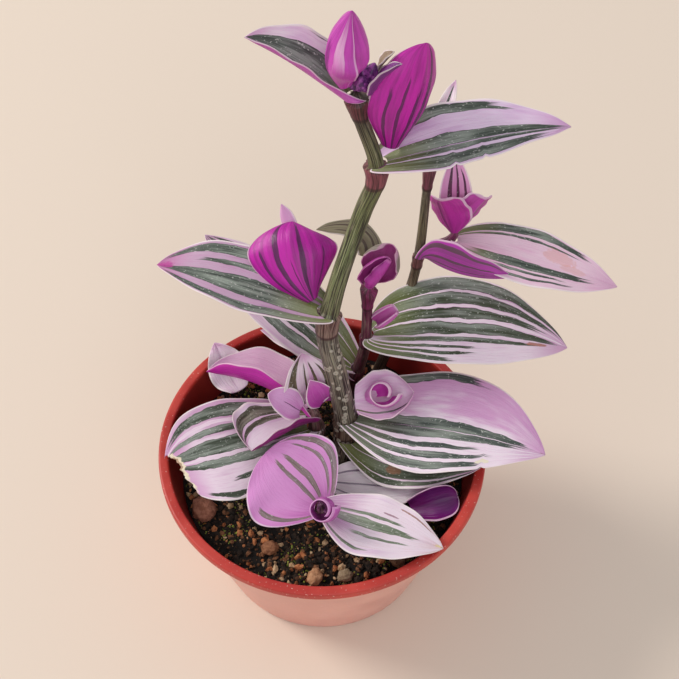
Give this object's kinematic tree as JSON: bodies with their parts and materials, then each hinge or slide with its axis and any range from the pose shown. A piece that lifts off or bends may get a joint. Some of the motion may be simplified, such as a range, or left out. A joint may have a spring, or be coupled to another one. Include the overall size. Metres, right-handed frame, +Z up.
{
  "type": "potted tradescantia",
  "caption": "Potted trailing plant with upright jointed stems, pointed leaves striped green, silver and pink with magenta undersides, in a round tapered plastic nursery pot of dark soil.",
  "frame": {"origin": "centre of the pot's underside", "axes": "+Z up; +X towards the side that the long right-hand leaves reach over; -Y is the side the picture was taken from"},
  "size_m": [0.1375, 0.1111, 0.1962],
  "materials": {
    "pot_plastic": "satin terracotta-red moulded plastic, dusty outside",
    "soil": "damp crumbly potting mix with tan and brown grains and a little moss",
    "pebble": "rough matte stone",
    "stem": "smooth green-brown stem with reddish nodes and fine lines",
    "leaf_green": "satin leaf, grey-green and lilac-pink stripes, magenta underside",
    "leaf_pink": "satin leaf, mostly lilac-pink with thin green stripes",
    "leaf_magenta": "satin young leaf or underside, magenta with dark purple stripes",
    "flower": "dark purple crumpled buds"
  },
  "bodies": {
    "root": {"pot": "pot_plastic", "soil": "soil", "pebble_left": "pebble", "pebble_front_left": "pebble", "pebble_front": "pebble", "pebble_front_right": "pebble", "pebble_right": "pebble", "stem_main": "stem", "stem_back": "stem", "stem_branch": "stem", "stem_middle": "stem", "stem_left": "stem", "stem_front": "stem", "leaf_top_left": "leaf_green", "bud_top": "leaf_magenta", "leaf_top_inner": "leaf_magenta", "tip_top_small": "leaf_green", "leaf_upper_right": "leaf_green", "leaf_upper_erect": "leaf_magenta", "leaf_left": "leaf_green", "leaf_hooded": "leaf_magenta", "leaf_hooded_inner": "leaf_pink", "leaf_middle_right": "leaf_green", "bud_middle_axil": "leaf_magenta", "leaf_middle_left": "leaf_green", "bud_middle_outer": "leaf_green", "bud_middle_inner": "leaf_magenta", "leaf_back_folded": "leaf_magenta", "leaf_back_right": "leaf_green", "leaf_crown_back": "leaf_pink", "leaf_crown_left": "leaf_magenta", "leaf_crown_right": "leaf_magenta", "leaf_back_top": "leaf_pink", "leaf_lower_right": "leaf_green", "leaf_lower_right_under": "leaf_green", "leaf_lower_pale": "leaf_pink", "leaf_lower_curl": "leaf_magenta", "rosette_outer": "leaf_pink", "rosette_inner": "leaf_magenta", "leaf_left_low": "leaf_green", "leaf_left_round": "leaf_green", "leaf_left_spoon": "leaf_pink", "leaf_left_erect": "leaf_green", "leaf_left_inner": "leaf_magenta", "leaf_left_folded": "leaf_pink", "leaf_left_cup": "leaf_pink", "leaf_behind": "leaf_green", "leaf_behind_low": "leaf_pink", "leaf_front_round": "leaf_pink", "leaf_front_right": "leaf_pink", "bud_front": "leaf_magenta", "flower_buds": "flower"}
  },
  "joints": []
}
